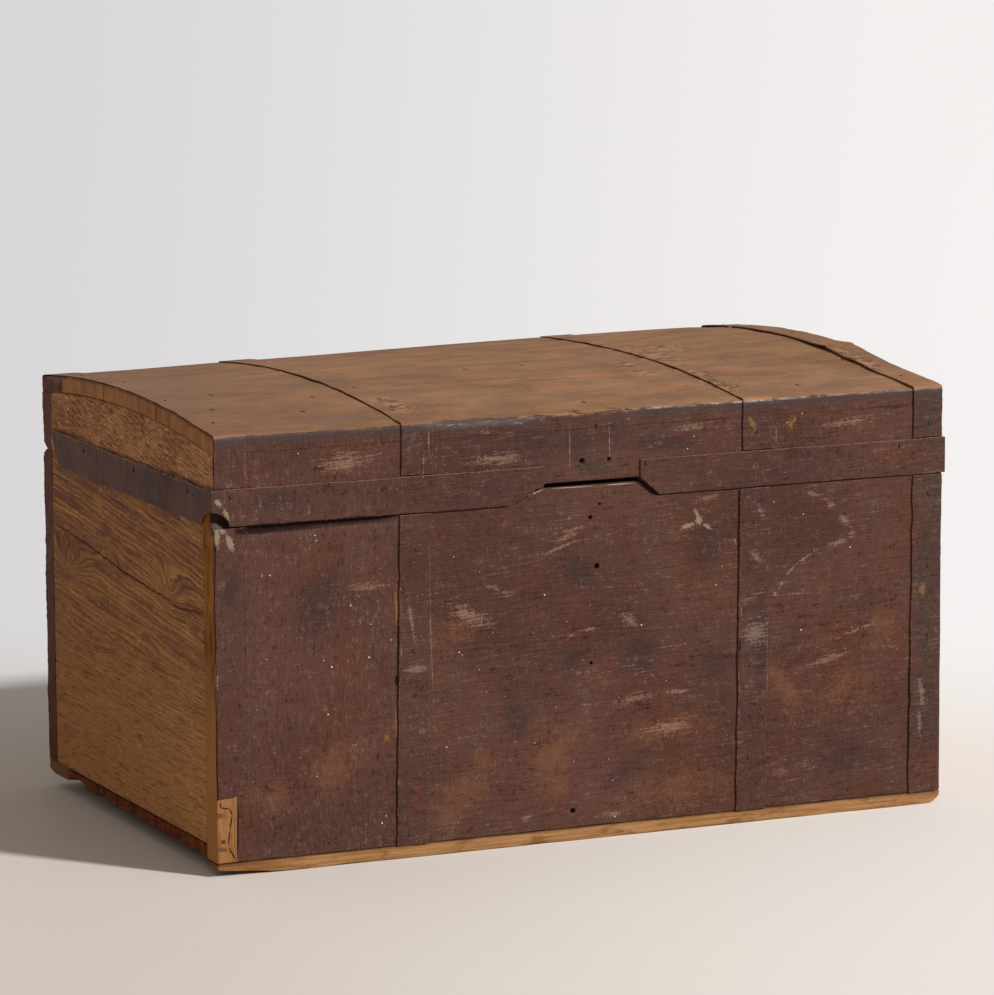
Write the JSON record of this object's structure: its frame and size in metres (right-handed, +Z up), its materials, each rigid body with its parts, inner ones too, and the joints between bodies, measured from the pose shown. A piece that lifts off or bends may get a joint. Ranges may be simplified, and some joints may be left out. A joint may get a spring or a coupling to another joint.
{
  "type": "metal-bound chest",
  "caption": "Wooden storage chest bound with iron straps, with a low domed lid that swings on hinges at the back.",
  "frame": {"origin": "on the floor, under the middle of the chest's bounding box", "axes": "+X along the chest's length to the right seen from the front, +Y from the front to the back, +Z up"},
  "size_m": [0.9062, 0.5502, 0.513],
  "materials": {
    "oxblood_painted_boards": "old oxblood paint, worn and scratched, satin",
    "worn_lid_top": "thin brown paint rubbed through to the wood",
    "bare_pine": "bare aged pine, matte",
    "pale_pine": "bare pale pine, raw",
    "painted_iron": "thin sheet iron painted over with oxblood paint",
    "dark_iron": "bare forged iron, dark"
  },
  "bodies": {
    "carcass": {"front_board": "oxblood_painted_boards", "back_board": "oxblood_painted_boards", "left_end_board": "bare_pine", "right_end_board": "bare_pine", "bottom_plank_front": "pale_pine", "bottom_plank_middle": "pale_pine", "bottom_plank_rear": "pale_pine", "front_runner": "pale_pine", "back_runner": "pale_pine", "front_strap_left_corner": "painted_iron", "front_strap_left": "painted_iron", "front_strap_right": "painted_iron", "front_strap_right_corner": "painted_iron", "back_strap_left_corner": "painted_iron", "back_strap_left": "painted_iron", "back_strap_right": "painted_iron", "back_strap_right_corner": "painted_iron", "hinge_left_body_leaf": "dark_iron", "hinge_right_body_leaf": "dark_iron", "hinge_left_pin": "dark_iron", "hinge_right_pin": "dark_iron"},
    "lid": {"lid_front_rail": "oxblood_painted_boards", "lid_back_rail": "oxblood_painted_boards", "lid_left_gable": "bare_pine", "lid_right_gable": "bare_pine", "lid_stave_1": "worn_lid_top", "lid_stave_2": "worn_lid_top", "lid_stave_3": "worn_lid_top", "lid_stave_4": "worn_lid_top", "lid_strap_left_corner": "painted_iron", "lid_strap_left": "painted_iron", "lid_strap_right": "painted_iron", "lid_strap_right_corner": "painted_iron", "lip_front_left": "painted_iron", "lip_front_right": "painted_iron", "lip_left_end": "painted_iron", "lip_right_end": "painted_iron", "hinge_left_lid_leaf": "dark_iron", "hinge_right_lid_leaf": "dark_iron"}
  },
  "joints": [
    {"name": "lid_hinge", "type": "hinge", "parent": "carcass", "child": "lid", "pos_m": [0, 0.2675, 0.40425], "axis": [-1, 0, 0], "range_deg": [0, 98]}
  ]
}
